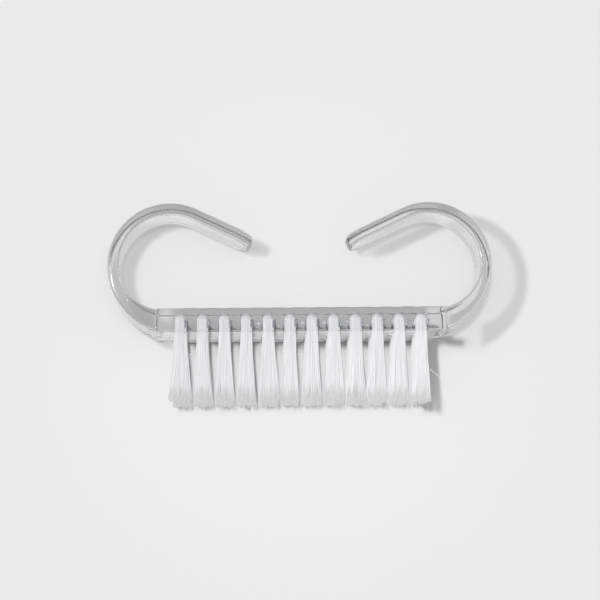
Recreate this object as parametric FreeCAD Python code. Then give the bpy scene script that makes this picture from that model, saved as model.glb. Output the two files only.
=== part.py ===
import FreeCAD, Part
import math
import os

# Hook-handled nail brush, lying on its side as it is stored and sold.
# X runs along the brush, Y points from the bristle tips to the hook arms, and +Z points
# up from the side that it rests on. The origin is the middle of that side face of the
# block, so Y = 0 is halfway between the face that holds the bristles and the face
# that the arms rise from. All values are in millimetres, and angles in degrees.

# the pattern of tufts
columns = 12
rows = 4
column_pitch = 5.08
row_pitch = 4.2

# the blind hole of one tuft
hole_radius = 1.35
hole_depth = 4.3
hole_bottom_round = 0.3

# the block that holds the bristles
end_margin = 5.81        # from the outer columns' axes to the block's ends, at its back
side_margin = 2.2        # from the outer rows' axes to the block's sides
roof = 1.3               # plastic between the holes' bottoms and the block's back
end_draft = 0.2          # how much further each end reaches at the bristle face
block_edge_round = 0.4

# the two hook arms
arm_reach = 11.25        # how far they stand out past the ends of the block's back
arm_thickness = 2.8
arm_step = 2.25          # from the block's sides to the arms' narrower sides
arm_edge_round = 0.7
hook_radius = 14.65      # outside of the upper bend
arm_slope = 25.4         # how steeply the straight end of an arm falls towards the middle
straight_length = 14.6
tongue_round = 4.0       # both corners of an arm's free end, seen square on to the strip
foot_run = 2.25          # from the block's end to where the arm's inside lands on its back
foot_rise = 0.55         # from the bristle face to where the arm's outside meets the end
root_embed = 1.5         # how far an arm's foot runs on inside the block

# the flat wire that holds one tuft
wire_bite = 0.4          # how far each end is pressed into the hole's wall
wire_height = 1.7
wire_thickness = 0.3
fold_height = 1.4        # room over the wire for the filaments that fold over it
wire_turn = 28.0         # about the hole's axis, so that no two wires point at each other
wire_shift = 0.15        # the wire's middle lies this far off the hole's axis
wire_fit = 0.02          # gap between the wire and the filaments

# one tuft
tuft_fit = 0.02          # gap between the packed filaments and the hole's wall
free_length = 16.0       # from the block's bristle face to the trimmed tips
column_tip_gap = 0.48    # between the tips of neighbouring columns
row_tip_gap = 0.2        # between the tips of neighbouring rows

# sizes that follow from the ones above
block_length = (columns - 1) * column_pitch + 2 * end_margin
block_depth = (rows - 1) * row_pitch + 2 * side_margin
block_thickness = hole_depth + roof
overall_length = block_length + 2 * arm_reach
arm_depth = block_depth - 2 * arm_step
inner_foot_radius = arm_reach - arm_thickness + foot_run
wire_width = 2 * hole_radius + 2 * wire_bite
wire_inset = hole_depth - fold_height - wire_height
tip_half_width = (column_pitch - column_tip_gap) / 2
tip_half_height = (row_pitch - row_tip_gap) / 2

# places that follow
top_y = block_thickness / 2
face_y = -block_thickness / 2
hole_end_y = face_y + hole_depth
bend_y = top_y + inner_foot_radius
mid_z = block_depth / 2

# further than any cut needs to run
beyond = 1.0


def vec(x, y, z=0.0):
    return FreeCAD.Vector(x, y, z)


def line(start, end):
    return Part.LineSegment(start, end).toShape()


def arc(start, middle, end):
    return Part.Arc(start, middle, end).toShape()


def on_circle(centre, radius, degrees):
    turn = math.radians(degrees)
    return centre + vec(radius * math.cos(turn), radius * math.sin(turn))


def block():
    """A slab whose ends slope slightly, longest at the bristle face, with every edge rounded."""
    top_half = block_length / 2
    face_half = top_half + end_draft
    corners = [
        vec(-face_half, face_y),
        vec(face_half, face_y),
        vec(top_half, top_y),
        vec(-top_half, top_y),
        vec(-face_half, face_y),
    ]
    slab = Part.Face(Part.makePolygon(corners)).extrude(vec(0, 0, block_depth))
    return slab.makeFillet(block_edge_round, slab.Edges)


def arm():
    """The left arm: a strip that leaves the block's end, bends round and over, and ends straight.

    Outside and inside are each two arcs, a lower and an upper one, and all four run
    along Y where they meet at the arm's outermost point, at the height bend_y. The
    lower arc outside passes through foot, a point of the block's end. The lower arc
    inside lands on the block's back, tangent to it.
    """
    leftmost = vec(-overall_length / 2, bend_y)
    foot = vec(-block_length / 2, face_y + foot_rise)
    foot_radius = (foot - leftmost).Length ** 2 / (2 * (foot.x - leftmost.x))
    hook_centre = leftmost + vec(hook_radius, 0)
    foot_centre = leftmost + vec(foot_radius, 0)
    inner_leftmost = leftmost + vec(arm_thickness, 0)
    inner_foot_centre = inner_leftmost + vec(inner_foot_radius, 0)
    inner_hook_radius = hook_radius - arm_thickness

    foot_turn = math.degrees(math.acos((foot_centre.x - foot.x) / foot_radius))
    foot_middle = on_circle(foot_centre, foot_radius, 180 + foot_turn / 2)

    shoulder_angle = 90 - arm_slope
    over_angle = (180 + shoulder_angle) / 2
    shoulder = on_circle(hook_centre, hook_radius, shoulder_angle)
    over = on_circle(hook_centre, hook_radius, over_angle)
    inner_shoulder = on_circle(hook_centre, inner_hook_radius, shoulder_angle)
    inner_over = on_circle(hook_centre, inner_hook_radius, over_angle)
    to_tip = on_circle(vec(0, 0), straight_length, -arm_slope)

    tangent = on_circle(inner_foot_centre, inner_foot_radius, 270)
    tangent_middle = on_circle(inner_foot_centre, inner_foot_radius, 225)
    low_inside = foot + vec(root_embed, 0)
    high_inside = tangent - vec(0, root_embed)

    edges = [
        arc(foot, foot_middle, leftmost),
        arc(leftmost, over, shoulder),
        line(shoulder, shoulder + to_tip),
        line(shoulder + to_tip, inner_shoulder + to_tip),
        line(inner_shoulder + to_tip, inner_shoulder),
        arc(inner_shoulder, inner_over, inner_leftmost),
        arc(inner_leftmost, tangent_middle, tangent),
        line(tangent, high_inside),
        line(high_inside, low_inside),
        line(low_inside, foot),
    ]
    strip = Part.Face(Part.Wire(edges)).extrude(vec(0, 0, arm_depth))
    strip.translate(vec(0, 0, mid_z - arm_depth / 2))
    strip = strip.makeFillet(tongue_round, [edge for edge in strip.Edges if is_across(edge)])
    rims = [edge for edge in strip.Edges if is_rim(edge)]
    return strip.makeFillet(arm_edge_round, rims)


def is_across(edge):
    """True for an edge that crosses the strip's thickness at its free end."""
    return abs(edge.Length - arm_thickness) < 0.001


def is_rim(edge):
    """True for an edge along either border of the strip or round its free end.

    Seams across the strip's depth or thickness join faces that are already smooth, and
    the edges of the foot are buried in the block.
    """
    seam = is_across(edge) or edge.BoundBox.ZLength > arm_depth - 2 * arm_edge_round
    end_x = -block_length / 2
    buried = edge.BoundBox.XMin > end_x - 0.01 and edge.BoundBox.YMax < top_y + 0.01
    return not seam and not buried


def tuft_axes():
    """Row, column and axis of each tuft; row 1 is the lowest, column 1 the furthest left."""
    for row in range(rows):
        for column in range(columns):
            x = (column - (columns - 1) / 2) * column_pitch
            z = mid_z + (row - (rows - 1) / 2) * row_pitch
            yield row + 1, column + 1, x, z


def hole_cutter(x, z):
    """A pin from outside the bristle face to the hole's bottom, where its edge is rounded."""
    start = vec(x, face_y - beyond, z)
    pin = Part.makeCylinder(hole_radius, hole_depth + beyond, start, vec(0, 1, 0))
    bottom = [edge for edge in pin.Edges if abs(edge.BoundBox.YMin - hole_end_y) < 0.01]
    bottom = [edge for edge in bottom if edge.BoundBox.YLength < 0.01]
    return pin.makeFillet(hole_bottom_round, bottom)


def wire_piece(x, z, gap=0.0):
    """The flat wire across one hole, or with a gap the room it needs on every side."""
    width = wire_width + 2 * gap
    height = wire_height + 2 * gap
    thickness = wire_thickness + 2 * gap
    corner = vec(wire_shift - width / 2, face_y + wire_inset - gap, -thickness / 2)
    piece = Part.makeBox(width, height, thickness, corner)
    piece.rotate(vec(0, 0, 0), vec(0, 1, 0), -wire_turn)
    piece.translate(vec(x, 0, z))
    return piece


def tuft(x, z):
    """Packed filaments: a plug that fills the hole, then a flare to the trimmed tips."""
    root_radius = hole_radius - tuft_fit
    plug_end = vec(x, hole_end_y - tuft_fit, z)
    plug = Part.makeCylinder(root_radius, hole_depth - tuft_fit, plug_end, vec(0, -1, 0))
    rim = [edge for edge in plug.Edges if edge.BoundBox.YLength < 0.01]
    rim = [edge for edge in rim if edge.BoundBox.YMin > face_y + beyond]
    plug = plug.makeFillet(hole_bottom_round, rim)

    mouth = Part.Circle(vec(x, face_y, z), vec(0, -1, 0), root_radius).toShape()
    tip = Part.Ellipse(
        vec(x + tip_half_width, face_y - free_length, z),
        vec(x, face_y - free_length, z - tip_half_height),
        vec(x, face_y - free_length, z),
    ).toShape()
    flare = Part.makeLoft([Part.Wire(mouth), Part.Wire(tip)], True, True)
    return plug.fuse(flare).cut(wire_piece(x, z, wire_fit))


def handle_body():
    """One moulding: the block with both arms, and a blind hole with its wire's pocket per tuft."""
    left = arm()
    right = left.mirror(vec(0, 0, 0), vec(1, 0, 0))
    moulding = block().fuse([left, right]).removeSplitter()
    cutters = []
    for _row, _column, x, z in tuft_axes():
        cutters.append(hole_cutter(x, z).fuse(wire_piece(x, z)))
    return moulding.cut(Part.makeCompound(cutters))


def save(shape, name):
    solids = shape.Solids
    kept = solids[0] if len(solids) == 1 else Part.makeCompound(solids)
    kept.exportStep("parts/" + name + ".step")
    print(name, len(solids), round(shape.Volume, 3), shape.isValid())


def main():
    os.makedirs("parts", exist_ok=True)
    save(handle_body(), "handle_body")
    wires = {row: [] for row in range(1, rows + 1)}
    for row, column, x, z in tuft_axes():
        save(tuft(x, z), f"tuft_r{row}_c{column:02d}")
        wires[row].append(wire_piece(x, z))
    for row, pieces in wires.items():
        save(Part.makeCompound(pieces), f"anchors_row_{row}")


main()
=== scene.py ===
import math

import bpy
import numpy as np
from mathutils import Matrix, Vector


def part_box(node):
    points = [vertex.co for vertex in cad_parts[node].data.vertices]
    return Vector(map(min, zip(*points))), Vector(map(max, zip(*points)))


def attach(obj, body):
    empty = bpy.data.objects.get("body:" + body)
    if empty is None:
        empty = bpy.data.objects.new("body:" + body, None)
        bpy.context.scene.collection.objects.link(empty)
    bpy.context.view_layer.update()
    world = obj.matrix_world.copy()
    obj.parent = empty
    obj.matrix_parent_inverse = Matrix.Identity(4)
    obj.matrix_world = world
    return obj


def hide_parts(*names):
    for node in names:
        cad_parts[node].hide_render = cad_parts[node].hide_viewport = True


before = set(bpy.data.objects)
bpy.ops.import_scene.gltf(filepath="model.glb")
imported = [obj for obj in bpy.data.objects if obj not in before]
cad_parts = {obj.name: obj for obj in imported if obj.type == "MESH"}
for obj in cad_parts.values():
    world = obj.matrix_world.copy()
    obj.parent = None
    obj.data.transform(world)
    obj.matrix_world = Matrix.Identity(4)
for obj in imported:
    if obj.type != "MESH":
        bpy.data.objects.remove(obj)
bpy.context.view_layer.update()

mm = 0.001
rows, columns = 4, 12
print("frame loaded")


def tuftNode(row, column):
    # rows count from the floor up, columns from the low end of X
    return f"tuft_r{row}_c{column:02d}"


def newMesh(name, points, quads, triangles, materials):
    # one smooth object from whole arrays of points, four-sided faces and three-sided faces
    corners = np.concatenate([quads.ravel(), triangles.ravel()]).astype(np.int32)
    sides = np.concatenate([np.full(len(quads), 4), np.full(len(triangles), 3)])
    mesh = bpy.data.meshes.new(name)
    mesh.vertices.add(len(points))
    mesh.vertices.foreach_set("co", points.astype(np.float32).ravel())
    mesh.loops.add(len(corners))
    mesh.loops.foreach_set("vertex_index", corners)
    mesh.polygons.add(len(sides))
    mesh.polygons.foreach_set("loop_start", np.concatenate([[0], np.cumsum(sides)[:-1]]).astype(np.int32))
    mesh.polygons.foreach_set("use_smooth", np.full(len(sides), True))
    for material in materials:
        mesh.materials.append(material)
    mesh.update(calc_edges=True)
    mesh.validate()
    piece = bpy.data.objects.new(name, mesh)
    bpy.context.scene.collection.objects.link(piece)
    return piece


def setInput(node, name, value):
    node.inputs[name].default_value = value


def feed(tree, socket, given):
    # a socket takes either a fixed value or another node's output
    if isinstance(given, bpy.types.NodeSocket):
        tree.links.new(given, socket)
    else:
        socket.default_value = given


def ramp(tree, value, start, stop, low=0.0, high=1.0):
    # low up to start, high past stop, and a straight line between them
    node = tree.nodes.new("ShaderNodeMapRange")
    given = {"Value": value, "From Min": start, "From Max": stop, "To Min": low, "To Max": high}
    for name in given:
        feed(tree, node.inputs[name], given[name])
    return node.outputs["Result"]


def reckon(tree, operation, first, second=0.0):
    node = tree.nodes.new("ShaderNodeMath")
    node.operation = operation
    feed(tree, node.inputs[0], first)
    feed(tree, node.inputs[1], second)
    return node.outputs["Value"]


def mixColours(tree, share, first, second):
    node = tree.nodes.new("ShaderNodeMix")
    node.data_type = "RGBA"
    feed(tree, node.inputs["Factor"], share)
    feed(tree, node.inputs["A"], first)
    feed(tree, node.inputs["B"], second)
    return node.outputs["Result"]


def splitVector(tree, vector):
    # the X, Y and Z outputs of a vector
    split = tree.nodes.new("ShaderNodeSeparateXYZ")
    tree.links.new(vector, split.inputs["Vector"])
    return split.outputs


def ownPlace(tree):
    return tree.nodes.new("ShaderNodeTexCoord").outputs["Object"]


mouldLook = {
    "scales": {"Wave Scale": 90.0, "Peel Scale": 900.0, "Peel Share": 0.2, "Mark Scale": 160.0},
    "waveDetail": 1.0,
    "peelDetail": 2.0,
    "markDetail": 3.0,
    "markStretch": (1.0, 0.12, 1.0),
    "markTurn": (0.2, 0.1, 0.5),
    "markFrom": 0.62,
    "markTo": 0.72,
}


def noise(tree, place, scale, detail):
    node = tree.nodes.new("ShaderNodeTexNoise")
    setInput(node, "Detail", detail)
    tree.links.new(place, node.inputs["Vector"])
    tree.links.new(scale, node.inputs["Scale"])
    return node.outputs["Fac"]


def mouldedSurfaceGroup():
    # Height and Wear for a moulded surface. Height is a broad soft noise plus a fine
    # faint one, the slow waves and the orange peel that a mould leaves. Wear is
    # stretched noise pushed through a narrow ramp, so that only thin marks stay.
    group = bpy.data.node_groups.new("mouldedSurface", "ShaderNodeTree")
    for name, value in mouldLook["scales"].items():
        socket = group.interface.new_socket(name=name, in_out="INPUT", socket_type="NodeSocketFloat")
        socket.default_value = value
    for name in ("Height", "Wear"):
        group.interface.new_socket(name=name, in_out="OUTPUT", socket_type="NodeSocketFloat")
    given = group.nodes.new("NodeGroupInput").outputs
    result = group.nodes.new("NodeGroupOutput").inputs
    place = ownPlace(group)
    blend = group.nodes.new("ShaderNodeMix")
    feed(group, blend.inputs["Factor"], given["Peel Share"])
    feed(group, blend.inputs["A"], noise(group, place, given["Wave Scale"], mouldLook["waveDetail"]))
    feed(group, blend.inputs["B"], noise(group, place, given["Peel Scale"], mouldLook["peelDetail"]))
    feed(group, result["Height"], blend.outputs["Result"])
    stretch = group.nodes.new("ShaderNodeMapping")
    setInput(stretch, "Scale", mouldLook["markStretch"])
    setInput(stretch, "Rotation", mouldLook["markTurn"])
    feed(group, stretch.inputs["Vector"], place)
    marks = noise(group, stretch.outputs["Vector"], given["Mark Scale"], mouldLook["markDetail"])
    feed(group, result["Wear"], ramp(group, marks, mouldLook["markFrom"], mouldLook["markTo"]))
    return group


mouldedSurface = mouldedSurfaceGroup()


def newMaterial(name, scales):
    # a Principled material with the moulded surface in it, at this finish's own scales
    material = bpy.data.materials.new(name)
    material.use_nodes = True
    tree = material.node_tree
    surface = tree.nodes.new("ShaderNodeGroup")
    surface.node_tree = mouldedSurface
    for socket, value in scales.items():
        setInput(surface, socket, value)
    return material, tree, tree.nodes["Principled BSDF"], surface


def addFinish(tree, shader, surface, driver, roughness, bump):
    # Roughness runs between two values with one of the group's outputs. The height goes
    # through a bump node, of a strength and a depth, into the normal.
    feed(tree, shader.inputs["Roughness"], ramp(tree, surface.outputs[driver], 0.0, 1.0, *roughness))
    dent = tree.nodes.new("ShaderNodeBump")
    setInput(dent, "Strength", bump[0])
    setInput(dent, "Distance", bump[1])
    feed(tree, dent.inputs["Height"], surface.outputs["Height"])
    feed(tree, shader.inputs["Normal"], dent.outputs["Normal"])


def letLightThrough(tree, shader, tint, rays):
    # rays of the named kinds go straight on through the tint, all others meet the shader
    path = tree.nodes.new("ShaderNodeLightPath")
    straight = tree.nodes.new("ShaderNodeBsdfTransparent")
    feed(tree, straight.inputs["Color"], tint)
    shown = shader.outputs["BSDF"]
    for ray in rays:
        choice = tree.nodes.new("ShaderNodeMixShader")
        tree.links.new(path.outputs[ray], choice.inputs["Fac"])
        tree.links.new(shown, choice.inputs[1])
        tree.links.new(straight.outputs["BSDF"], choice.inputs[2])
        shown = choice.outputs["Shader"]
    tree.links.new(shown, tree.nodes["Material Output"].inputs["Surface"])


# where the parts of the moulding that have a tint of their own begin and end
zones = {
    "undersideFrom": 1.0 * mm,
    "undersideTo": 0.5 * mm,
    "bareFrom": 29.5 * mm,
    "bareTo": 31.0 * mm,
    "armsBehind": 2.8 * mm,
    "armsBeyond": 33.75 * mm,
    "armsFade": 1.0 * mm,
}


def passingTint(tree, passes):
    # tint = side + (level - side) |nz| m. Side is the block's value or the arms', level is
    # the underside's or the arm edges', nz is the z of the surface's normal, and the mask
    # m is 1 on the arms and on the block's underside, whose value rises past the last
    # holes. The arms are what lies behind the block's back or beyond its ends.
    facing = splitVector(tree, tree.nodes.new("ShaderNodeNewGeometry").outputs["True Normal"])
    place = splitVector(tree, ownPlace(tree))
    aside = reckon(tree, "ABSOLUTE", place["X"])
    behind = ramp(tree, place["Y"], zones["armsBehind"], zones["armsBehind"] + zones["armsFade"])
    beyond = ramp(tree, aside, zones["armsBeyond"], zones["armsBeyond"] + zones["armsFade"])
    arms = reckon(tree, "MAXIMUM", behind, beyond)
    below = ramp(tree, place["Z"], zones["undersideFrom"], zones["undersideTo"])
    lies = reckon(tree, "ABSOLUTE", facing["Z"])
    mask = reckon(tree, "MULTIPLY", lies, reckon(tree, "MAXIMUM", arms, below))
    ends = ramp(
        tree, aside, zones["bareFrom"], zones["bareTo"], passes["underside"], passes["undersideEnds"]
    )
    side = ramp(tree, arms, 0.0, 1.0, passes["block"], passes["arms"])
    level = ramp(tree, arms, 0.0, 1.0, ends, passes["armEdges"])
    return ramp(tree, mask, 0.0, 1.0, side, level)


acrylicLook = {
    "colour": (0.925, 0.928, 0.937, 1.0),
    "ior": 1.49,
    "roughness": (0.015, 0.09),
    "bump": (0.25, 0.04 * mm),
    "passes": {"block": 0.94, "underside": 0.6, "undersideEnds": 0.88, "arms": 0.92, "armEdges": 0.57},
}
# the walls of the holes, which the tufts wet, so that they hardly bend the light
holeWallLook = {
    "colour": (0.99, 0.99, 0.99, 1.0),
    "ior": 1.04,
    "roughness": (0.02, 0.12),
    "bump": (0.25, 0.04 * mm),
    "passes": {"block": 1.0, "underside": 1.0, "undersideEnds": 1.0, "arms": 1.0, "armEdges": 1.0},
}


def clearPlastic(name, look):
    # Clear plastic with mould waves and fine marks. The lamp's light, and soft light off
    # other surfaces, pass it as a tint.
    material, tree, shader, surface = newMaterial(name, mouldLook["scales"])
    setInput(shader, "Base Color", look["colour"])
    setInput(shader, "Transmission Weight", 1.0)
    setInput(shader, "IOR", look["ior"])
    addFinish(tree, shader, surface, "Wear", look["roughness"], look["bump"])
    letLightThrough(tree, shader, passingTint(tree, look["passes"]), ["Is Shadow Ray", "Is Diffuse Ray"])
    return material


bubbleLook = {
    "colour": (0.97, 0.97, 0.97, 1.0),
    "clear": 0.4,
    "ior": 1.49,
    "roughness": (0.015, 0.09),
    "bump": (0.2, 0.01 * mm),
}


def airBubble():
    # air trapped in the plastic: part clear, part milk, so that it catches the light
    material, tree, shader, surface = newMaterial("airBubble", mouldLook["scales"])
    setInput(shader, "Base Color", bubbleLook["colour"])
    setInput(shader, "Transmission Weight", bubbleLook["clear"])
    setInput(shader, "IOR", bubbleLook["ior"])
    addFinish(tree, shader, surface, "Wear", bubbleLook["roughness"], bubbleLook["bump"])
    return material


nylonLook = {
    "scales": {"Wave Scale": 700.0, "Peel Scale": 3000.0, "Peel Share": 0.4, "Mark Scale": 1200.0},
    "pale": (0.89, 0.89, 0.90, 1.0),
    "shade": (0.81, 0.81, 0.83, 1.0),
    # palest tone at the tips: frost of the ground ends plus painted light that lifts their shade
    "tipGlowAndFrost": (0.99, 0.99, 0.985, 1.0),
    "tipGlowFrom": 3.0 * mm,
    "ior": 1.53,
    "roughness": (0.3, 0.5),
    "bump": (0.3, 0.01 * mm),
    "passes": (0.9, 0.9, 0.905, 1.0),
}


def nylonFilament():
    # milky nylon: colour and gloss vary along the filaments, and the tips are painted the
    # palest, by a mask that grows from 0 a set distance before the tips to 1 at the tips. This
    # pale tip is partly the frost of the ground ends and partly painted light, a glow for the
    # light the nylon carries out of its ends, which lie in shade.
    material, tree, shader, surface = newMaterial("nylonFilament", nylonLook["scales"])
    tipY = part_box(tuftNode(rows, 1))[0][1]
    end = ramp(tree, splitVector(tree, ownPlace(tree))["Y"], tipY + nylonLook["tipGlowFrom"], tipY)
    along = mixColours(tree, surface.outputs["Wear"], nylonLook["pale"], nylonLook["shade"])
    feed(tree, shader.inputs["Base Color"], mixColours(tree, end, along, nylonLook["tipGlowAndFrost"]))
    addFinish(tree, shader, surface, "Height", nylonLook["roughness"], nylonLook["bump"])
    setInput(shader, "IOR", nylonLook["ior"])
    letLightThrough(tree, shader, nylonLook["passes"], ["Is Shadow Ray"])
    return material


wireLook = {
    "scales": {"Wave Scale": 1500.0, "Peel Scale": 900.0, "Peel Share": 0.2, "Mark Scale": 2500.0},
    "dark": (0.42, 0.423, 0.45, 1.0),
    "worn": (0.55, 0.55, 0.58, 1.0),
    "roughness": (0.55, 0.8),
    "bump": (0.3, 0.01 * mm),
}


def anchorWire():
    # dull drawn wire, brighter where it is worn
    material, tree, shader, surface = newMaterial("anchorWire", wireLook["scales"])
    setInput(shader, "Metallic", 1.0)
    tone = mixColours(tree, surface.outputs["Wear"], wireLook["dark"], wireLook["worn"])
    feed(tree, shader.inputs["Base Color"], tone)
    addFinish(tree, shader, surface, "Height", wireLook["roughness"], wireLook["bump"])
    return material


acrylic = clearPlastic("clearAcrylic", acrylicLook)
wetWall = clearPlastic("holeWall", holeWallLook)
bubbleAir = airBubble()
nylon = nylonFilament()
wire = anchorWire()
print("materials made")


handle = {
    "sharpAngle": 32.0,
    "mergeDistance": 0.0005 * mm,
    "holeRadius": 1.37 * mm,
    "faceMargin": 0.01 * mm,
    "bottomMargin": 0.04 * mm,
    "normalWeight": 100,
    "bubbleSides": 10,
    "bubbleRings": 7,
}
# air bubbles in the plastic: place along the brush as a share of the column pitch from
# tuft 1, depth from the bristle face, depth below the near face, and radius, in mm
bubbles = [
    (0.48, 2.3, 1.6, 0.16), (1.55, 1.5, 2.4, 0.13), (2.45, 2.9, 1.1, 0.12), (3.56, 1.9, 1.2, 0.34),
    (3.64, 3.0, 2.6, 0.16), (4.50, 1.4, 1.9, 0.22), (5.55, 1.9, 1.0, 0.36), (5.62, 1.1, 1.9, 0.16),
    (6.54, 2.0, 1.3, 0.34), (6.42, 3.1, 2.2, 0.16), (7.55, 2.4, 1.5, 0.16), (8.50, 1.6, 2.1, 0.18),
    (9.52, 2.6, 1.4, 0.13), (10.5, 1.8, 1.8, 0.16), (11.7, 2.2, 2.6, 0.20), (-0.75, 2.6, 2.0, 0.16),
]


def bubble(centre, radius, firstPoint):
    # a small sphere of air: rings of latitude closed by a fan at each pole, wound so
    # that its faces point away from the plastic, into the air
    turns = np.arange(handle["bubbleSides"]) * 2 * np.pi / handle["bubbleSides"]
    tilts = np.linspace(0, np.pi, handle["bubbleRings"] + 2)[1:-1]
    around, down = np.meshgrid(turns, tilts)
    ring = np.stack([np.sin(down) * np.cos(around), np.sin(down) * np.sin(around), np.cos(down)], axis=-1)
    poles = np.array([[0, 0, 1.0], [0, 0, -1.0]])
    points = np.concatenate([ring.reshape(-1, 3), poles]) * radius + centre
    index = np.arange(ring[..., 0].size).reshape(around.shape)
    after = np.roll(index, -1, axis=1)
    quads = np.stack([index[:-1], after[:-1], after[1:], index[1:]], axis=-1).reshape(-1, 4)
    top = np.stack([np.full(len(turns), index.size), after[0], index[0]], axis=-1)
    foot = np.stack([np.full(len(turns), index.size + 1), index[-1], after[-1]], axis=-1)
    return points, quads + firstPoint, np.concatenate([top, foot]) + firstPoint


def bubbleMesh():
    # all the bubbles in one mesh, at their places in the block
    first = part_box(tuftNode(rows, 1))
    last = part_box(tuftNode(rows, columns))
    start = (first[0][0] + first[1][0]) / 2
    pitch = ((last[0][0] + last[1][0]) / 2 - start) / (columns - 1)
    low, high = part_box("handle_body")
    points, quads, triangles, total = [], [], [], 0
    for along, depth, below, radius in bubbles:
        centre = (start + along * pitch, low[1] + depth * mm, high[2] - below * mm)
        part = bubble(np.array(centre), radius * mm, total)
        points.append(part[0])
        quads.append(part[1])
        triangles.append(part[2])
        total += len(part[0])
    return newMesh(
        "bubbles", np.concatenate(points), np.concatenate(quads), np.concatenate(triangles), [bubbleAir]
    )


def insideHoles(mesh):
    # True for each face on the wall or the bottom of a hole: within a hole's radius of a
    # tuft's axis, behind the bristle face and no deeper than the tufts
    centres = np.empty(len(mesh.polygons) * 3)
    mesh.polygons.foreach_get("center", centres)
    centres = centres.reshape(-1, 3)
    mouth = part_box("handle_body")[0][1] + handle["faceMargin"]
    inside = np.zeros(len(centres), bool)
    for row in range(1, rows + 1):
        for column in range(1, columns + 1):
            low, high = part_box(tuftNode(row, column))
            off = np.hypot(centres[:, 0] - (low[0] + high[0]) / 2, centres[:, 2] - (low[2] + high[2]) / 2)
            inside |= (off < handle["holeRadius"]) & (centres[:, 1] > mouth)
    return inside & (centres[:, 1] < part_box(tuftNode(rows, 1))[1][1] + handle["bottomMargin"])


def clearHandle():
    # the node's own surface, with its loose triangles merged so that it shades smoothly;
    # the walls of the holes are wetted by the tufts, so they have a finish of their own
    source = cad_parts["handle_body"]
    mesh = source.data.copy()
    mesh.name = "clearHandle"
    piece = bpy.data.objects.new("clearHandle", mesh)
    bpy.context.scene.collection.objects.link(piece)
    mesh.materials.clear()
    mesh.materials.append(acrylic)
    bpy.ops.object.select_all(action="DESELECT")
    bpy.context.view_layer.objects.active = piece
    piece.select_set(True)
    if mesh.has_custom_normals:
        bpy.ops.mesh.customdata_custom_splitnormals_clear()
    merge = piece.modifiers.new("merge", "WELD")
    merge.merge_threshold = handle["mergeDistance"]
    bpy.ops.object.modifier_apply(modifier="merge")
    mesh = piece.data
    mesh.materials.append(wetWall)
    mesh.polygons.foreach_set("material_index", insideHoles(mesh).astype(np.int32))
    bubbleMesh().select_set(True)
    bpy.ops.object.join()
    mesh.polygons.foreach_set("use_smooth", np.full(len(mesh.polygons), True))
    mesh.set_sharp_from_angle(angle=math.radians(handle["sharpAngle"]))
    even = piece.modifiers.new("evenNormals", "WEIGHTED_NORMAL")
    even.keep_sharp = True
    even.weight = handle["normalWeight"]
    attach(piece, "root")
    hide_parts("handle_body")
    print("clear handle", len(mesh.vertices), "points", len(mesh.polygons), "faces")


clearHandle()


tuftShape = {
    "loops": 62,
    "filamentRadius": 0.1 * mm,
    "sides": 4,
    "legSteps": 6,
    "loopSteps": 3,
    "loopGap": 0.12 * mm,
    "holeFill": 1.33 * mm,
    "rootRough": 0.02 * mm,
    "rootShift": 0.04 * mm,
    "goldenShare": 0.618034,
    "tipSquareness": 0.18,
    "tipRough": 0.06,
    "tipScatter": 0.07 * mm,
    "easeStraight": 0.45,
    "easePower": 1.5,
    "lengthSpread": 0.7 * mm,
    "mostShort": 1.9 * mm,
    "floorGap": 0.03 * mm,
    "bow": 0.16 * mm,
    "clumps": 11,
    "clumpReach": (0.02, 0.95),
    "clumpPull": 0.3,
    "leanX": 0.12 * mm,
    "leanZ": 0.1 * mm,
    "wireTurn": math.radians(28.0),
    "wireDepth": 2.9 * mm,
    "wireHalf": 0.17 * mm,
    "ringTilt": (0.35, 0.1, 0.93),
}
# how wide each tuft of the uppermost row spreads at its tips, and how far it leans along X
topWidths = np.array([5.0, 4.5, 4.2, 4.2, 5.0, 4.5, 4.3, 4.8, 4.3, 4.0, 4.5, 4.2]) * mm
topLeans = np.array([-0.25, -0.3, 0.0, -0.4, 0.1, -0.4, -0.2, -0.2, 0.0, 0.0, -0.2, -0.35]) * mm


def tubes(paths, radius, sides):
    # Tubes along many paths at once: paths is (count, steps, 3). Each ring is a regular
    # polygon in the plane across the path, spanned by across = direction x ringTilt and
    # lift = across x direction. Both ends are closed by a fan round the path's own end.
    count, steps, _ = paths.shape
    direction = np.gradient(paths, axis=1)
    direction /= np.linalg.norm(direction, axis=2, keepdims=True)
    across = np.cross(direction, np.array(tuftShape["ringTilt"]))
    across /= np.linalg.norm(across, axis=2, keepdims=True)
    lift = np.cross(across, direction)
    angle = np.arange(sides) * 2 * np.pi / sides
    ring = across[:, :, None, :] * np.cos(angle)[None, None, :, None]
    ring = ring + lift[:, :, None, :] * np.sin(angle)[None, None, :, None]
    points = (paths[:, :, None, :] + ring * radius).reshape(-1, 3)
    ends = np.concatenate([paths[:, 0], paths[:, -1]])
    index = np.arange(count * steps * sides).reshape(count, steps, sides)
    after = np.roll(index, -1, axis=2)
    walls = np.stack([index[:, :-1], index[:, 1:], after[:, 1:], after[:, :-1]], axis=-1).reshape(-1, 4)
    first = np.arange(count)[:, None] + len(points)
    last = first + count
    startCap = np.stack([np.broadcast_to(first, (count, sides)), index[:, 0], after[:, 0]], axis=-1)
    endCap = np.stack([np.broadcast_to(last, (count, sides)), after[:, -1], index[:, -1]], axis=-1)
    caps = np.concatenate([startCap.reshape(-1, 3), endCap.reshape(-1, 3)])
    return np.concatenate([points, ends]), walls, caps


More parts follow.
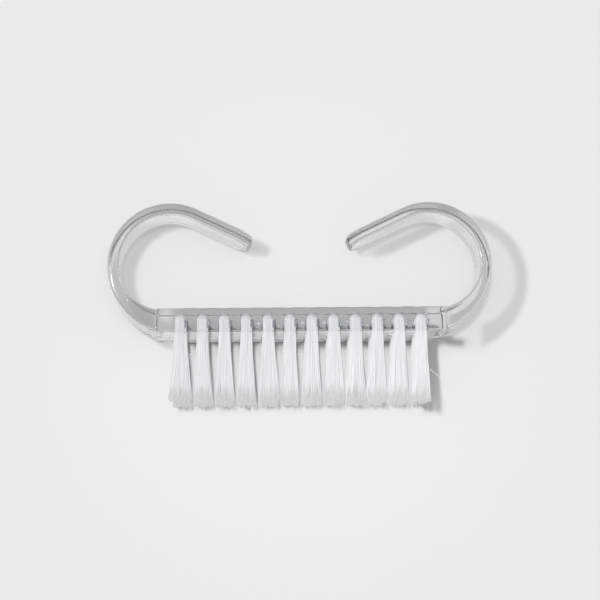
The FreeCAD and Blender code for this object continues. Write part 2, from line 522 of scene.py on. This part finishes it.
def legRoots(rng, count, rootRadius):
    # root places of the legs on one side of the wire: a sunflower spread of half a disc,
    # reach = sqrt(share of the count), turned by the golden angle folded into half a turn
    half, rough = tuftShape["wireHalf"], tuftShape["rootRough"]
    reach = np.sqrt((np.arange(count) + 0.5) / count) * rootRadius
    turn = np.pi * ((np.arange(count) * tuftShape["goldenShare"]) % 1.0)
    along = reach * np.cos(turn) + rng.normal(0, rough, count)
    off = half + (rootRadius - half) * (reach / rootRadius) * np.sin(turn)
    return along, np.minimum(off, np.sqrt(np.maximum(rootRadius ** 2 - along ** 2, 0)) + rough)


def tipPlaces(rng, rootX, rootZ, rootRadius, tipHalfX, tipHalfZ):
    # a tip stands where its root does in the disc, spread to the tip's rounded square by
    # (cos^4 + sin^4)^-tipSquareness of its direction, roughened, and pulled a share of
    # the way towards the nearest of a few clump centres
    count, rough, scatter = len(rootX), tuftShape["tipRough"], tuftShape["tipScatter"]
    reach = np.hypot(rootX, rootZ) + 0.001 * mm  # never zero
    square = ((rootX / reach) ** 4 + (rootZ / reach) ** 4) ** -tuftShape["tipSquareness"]
    tipX = rootX / rootRadius * tipHalfX * square * rng.normal(1.0, rough, count)
    tipZ = rootZ / rootRadius * tipHalfZ * square * rng.normal(1.0, rough, count)
    reach = np.sqrt(rng.uniform(*tuftShape["clumpReach"], tuftShape["clumps"]))
    turn = rng.uniform(0, 2 * np.pi, tuftShape["clumps"])
    clumpX = reach * np.cos(turn) * tipHalfX
    clumpZ = reach * np.sin(turn) * tipHalfZ
    nearest = np.argmin((tipX[:, None] - clumpX) ** 2 + (tipZ[:, None] - clumpZ) ** 2, axis=1)
    pull = tuftShape["clumpPull"]
    tipX = tipX + (clumpX[nearest] - tipX) * pull + rng.normal(0, scatter, count)
    tipZ = tipZ + (clumpZ[nearest] - tipZ) * pull + rng.normal(0, scatter, count)
    return tipX, tipZ


def tuftPaths(rng, centre, faceY, endY, tipY, tipHalfX, tipHalfZ, leanX, leanZ):
    # Each filament is one path: tip, straight leg in the hole, half an ellipse over the
    # wire, straight leg, tip. Outside the hole a leg runs from its root place to its tip
    # place by the ease s t + (1 - s) t^p, where s is easeStraight and p is easePower,
    # with a bow of t sin(pi t).
    count = tuftShape["loops"]
    rootRadius = tuftShape["holeFill"] - tuftShape["filamentRadius"]
    along, off = legRoots(rng, count, rootRadius)
    turn = tuftShape["wireTurn"]
    wireY = faceY + tuftShape["wireDepth"]
    low = tuftShape["filamentRadius"] + tuftShape["floorGap"]
    t = np.linspace(0, 1, tuftShape["legSteps"])[None, :]
    ease = tuftShape["easeStraight"] * t + (1 - tuftShape["easeStraight"]) * t ** tuftShape["easePower"]
    outside, inside = [], []
    for sign in (1.0, -1.0):
        shift = rng.normal(0, tuftShape["rootShift"], count)
        rootX = (along + shift) * math.cos(turn) - sign * off * math.sin(turn)
        rootZ = (along + shift) * math.sin(turn) + sign * off * math.cos(turn)
        tipX, tipZ = tipPlaces(rng, rootX, rootZ, rootRadius, tipHalfX, tipHalfZ)
        short = np.minimum(np.abs(rng.normal(0, tuftShape["lengthSpread"], count)), tuftShape["mostShort"])
        bowX = rng.normal(0, tuftShape["bow"], count)[:, None] * np.sin(np.pi * t) * t
        bowZ = rng.normal(0, tuftShape["bow"], count)[:, None] * np.sin(np.pi * t) * t
        x = centre[0] + rootX[:, None] + (leanX + tipX - rootX)[:, None] * ease + bowX
        z = centre[1] + rootZ[:, None] + (leanZ + tipZ - rootZ)[:, None] * ease + bowZ
        y = faceY + (tipY + short - faceY)[:, None] * t
        leg = np.stack([x, y, np.maximum(z, low)], axis=-1)
        outside.append(leg)
        inside.append(np.stack([leg[:, 0, 0], np.full(count, wireY), leg[:, 0, 2]], axis=-1)[:, None, :])
    a = np.linspace(0, np.pi, tuftShape["loopSteps"] + 2)[1:-1][None, :]
    middle = (inside[0][:, 0] + inside[1][:, 0]) / 2
    half = (inside[0][:, 0] - inside[1][:, 0]) / 2
    rise = (np.linalg.norm(half, axis=1) / rootRadius)[:, None] * (endY - wireY - tuftShape["loopGap"])
    loop = middle[:, None, :] + half[:, None, :] * np.cos(a)[..., None]
    loop[:, :, 1] = wireY + rise * np.sin(a)
    return np.concatenate([outside[0][:, ::-1], inside[0], loop, inside[1], outside[1]], axis=1)


straying = {
    "steps": 22,
    "tighten": 0.4,
    "thickness": 0.8,
    "besideTuft": 1.3 * mm,
    "flare": 0.05,
    "aboveTuft": 1.2 * mm,
}
# filaments that spring out of the uppermost row: column, distance from the bristle face,
# side, and the curl's reach, radius, turns and climb, in mm
loose = [
    (1, 5.0, 1.0, (1.0, -0.2), 0.62, 1.1, 0.5),
    (6, 5.2, 1.0, (1.2, 0.2), 0.5, 0.45, 0.4),
    (5, 2.2, -1.0, (-0.6, -0.6), 1.6, 0.22, 0.2),
    (12, 9.0, 1.0, (0.9, -0.9), 2.4, 0.16, 0.2),
]


def curl(start, reach, radius, turns, lift):
    # a filament that leaves a tuft and curls: a straight start, then a circle whose radius
    # shrinks evenly by the share tighten of itself, climbing steadily along Z
    a = np.linspace(0, 2 * np.pi * turns, straying["steps"])
    size = radius * (1 - straying["tighten"] * a / a[-1])
    x = start[0] + reach[0] + size * np.sin(a)
    y = start[1] + reach[1] - radius + size * np.cos(a)
    z = start[2] + lift * a / a[-1]
    return np.concatenate([[start], np.stack([x, y, z], axis=-1)])[None]


def strayFilaments(row, column, centre, faceY):
    # the tubes of the filaments that stray from this tuft
    found = []
    for where, out, side, reach, radius, turns, lift in loose:
        if row == rows and where == column:
            beside = side * (straying["besideTuft"] + straying["flare"] * out * mm)
            start = np.array([centre[0] + beside, faceY - out * mm, centre[1] + straying["aboveTuft"]])
            path = curl(start, np.array(reach) * mm, radius * mm, turns, lift * mm)
            thickness = tuftShape["filamentRadius"] * straying["thickness"]
            found.append(tubes(path, thickness, tuftShape["sides"]))
    return found


def tuft(row, column):
    name = tuftNode(row, column)
    low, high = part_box(name)
    rng = np.random.default_rng(1000 * row + column)
    centre = ((low[0] + high[0]) / 2, (low[2] + high[2]) / 2)
    tipHalfX = (high[0] - low[0]) / 2
    tipHalfZ = (high[2] - low[2]) / 2
    leanX, leanZ = rng.normal(0, tuftShape["leanX"]), rng.normal(0, tuftShape["leanZ"])
    if row == rows:
        tipHalfX = topWidths[column - 1] / 2
        leanX = topLeans[column - 1]
    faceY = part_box("handle_body")[0][1]
    paths = tuftPaths(rng, centre, faceY, high[1], low[1], tipHalfX, tipHalfZ, leanX, leanZ)
    points, walls, caps = tubes(paths, tuftShape["filamentRadius"], tuftShape["sides"])
    for more in strayFilaments(row, column, centre, faceY):
        walls = np.concatenate([walls, more[1] + len(points)])
        caps = np.concatenate([caps, more[2] + len(points)])
        points = np.concatenate([points, more[0]])
    piece = newMesh(name + "_filaments", points, walls, caps, [nylon])
    # more shade than that of the lowest row and the second row's last tuft is too dark
    piece.visible_shadow = row == 1 or (row == 2 and column == columns)
    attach(piece, "root")
    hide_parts(name)


for row in range(1, rows + 1):
    for column in range(1, columns + 1):
        tuft(row, column)
print("tufts made")

for row in range(1, rows + 1):
    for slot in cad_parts[f"anchors_row_{row}"].material_slots:
        slot.material = wire
print("anchor wires finished")


floorLook = {
    "size": 3.0,
    "drop": 0.05 * mm,
    "colour": (0.80, 0.80, 0.798, 1.0),
    # painted light: a paler tone near the brush that lifts the shade the brush puts on the floor
    "paintedLightTone": (0.825, 0.825, 0.823, 1.0),
    "paintedLightFrom": 80.0 * mm,
    "paintedLightTo": 30.0 * mm,
    "roughness": 0.75,
    "gloss": 0.1,
}


def paleFloor():
    # A flat sheet of paper a hair's breadth below the brush. With the distance from its
    # middle, its tone runs smoothly from a paler tone, up to the inner distance, to colour,
    # past the outer distance. The paler tone is painted light that lifts the shade the
    # brush puts on the paper around it.
    material = bpy.data.materials.new("paper")
    material.use_nodes = True
    tree = material.node_tree
    shader = tree.nodes["Principled BSDF"]
    away = tree.nodes.new("ShaderNodeVectorMath")
    away.operation = "LENGTH"
    feed(tree, away.inputs[0], ownPlace(tree))
    paintedLightShare = ramp(tree, away.outputs["Value"], floorLook["paintedLightFrom"], floorLook["paintedLightTo"])
    paintedLightShare.node.interpolation_type = "SMOOTHSTEP"
    tone = mixColours(tree, paintedLightShare, floorLook["colour"], floorLook["paintedLightTone"])
    feed(tree, shader.inputs["Base Color"], tone)
    setInput(shader, "Roughness", floorLook["roughness"])
    setInput(shader, "Specular IOR Level", floorLook["gloss"])
    half = floorLook["size"] / 2
    x, y = np.meshgrid([-half, half], [-half, half])
    points = np.stack([x, y, np.full_like(x, -floorLook["drop"])], axis=-1).reshape(-1, 3)
    floor = newMesh("paleFloor", points, np.array([[0, 1, 3, 2]]), np.empty((0, 3), int), [material])


lighting = {
    "lampPlace": (-82.0 * mm, 28.0 * mm, 191.0 * mm),
    "lampRadius": 9.0 * mm,
    "lampStrength": 21.8,
    "skyStrength": 0.62,
    "skyColour": (0.99, 0.992, 1.0, 1.0),
    "wallShade": (0.35, 0.351, 0.354, 1.0),
}


def keyLight():
    # One small soft lamp close above the brush's left. It doesn't fade with distance, and
    # it grows by distance / height, which cancels the slant and lights the floor evenly.
    lamp = bpy.data.lights.new("keyLight", "POINT")
    lamp.energy = 1.0
    lamp.shadow_soft_size = lighting["lampRadius"]
    lamp.use_nodes = True
    tree = lamp.node_tree
    steady = tree.nodes.new("ShaderNodeLightFalloff")
    setInput(steady, "Strength", lighting["lampStrength"] / lighting["lampPlace"][2])
    reach = tree.nodes.new("ShaderNodeLightPath").outputs["Ray Length"]
    grown = reckon(tree, "MULTIPLY", steady.outputs["Constant"], reach)
    feed(tree, tree.nodes["Emission"].inputs["Strength"], grown)
    key = bpy.data.objects.new("keyLight", lamp)
    key.location = lighting["lampPlace"]
    bpy.context.scene.collection.objects.link(key)


def softSky():
    # The sky is brightest straight above and a dimmer grey at the walls:
    # colour = wallShade + (skyColour - wallShade) z, for the direction's upward share z.
    world = bpy.data.worlds.new("softSky")
    world.use_nodes = True
    world.cycles.sampling_method = "NONE"
    tree = world.node_tree
    sky = tree.nodes["Background"]
    setInput(sky, "Strength", lighting["skyStrength"])
    way = splitVector(tree, tree.nodes.new("ShaderNodeTexCoord").outputs["Generated"])
    feed(tree, sky.inputs["Color"], mixColours(tree, way["Z"], lighting["wallShade"], lighting["skyColour"]))
    bpy.context.scene.world = world
    bpy.context.scene.view_settings.view_transform = "Standard"


cameraPlace = {
    "tilt": 9.64,
    "swing": -1.99,
    "roll": 0.78,
    "distance": 498.6 * mm,
    "target": (0.05 * mm, 5.9 * mm, 8.5 * mm),
    "lens": 126.9,
    "clipStart": 10.0 * mm,
}


def studioCamera():
    lens = bpy.data.cameras.new("studioCamera")
    lens.lens = cameraPlace["lens"]
    lens.clip_start = cameraPlace["clipStart"]
    camera = bpy.data.objects.new("studioCamera", lens)
    turn = Matrix.Rotation(math.radians(cameraPlace["swing"]), 4, "Y")
    turn = turn @ Matrix.Rotation(math.radians(cameraPlace["tilt"]), 4, "X")
    turn = turn @ Matrix.Rotation(-math.radians(cameraPlace["roll"]), 4, "Z")
    away = turn @ Vector((0, 0, cameraPlace["distance"]))
    camera.matrix_world = Matrix.Translation(Vector(cameraPlace["target"]) + away) @ turn
    bpy.context.scene.collection.objects.link(camera)
    bpy.context.scene.camera = camera


paleFloor()
keyLight()
softSky()
studioCamera()
print("floor, light and camera set")
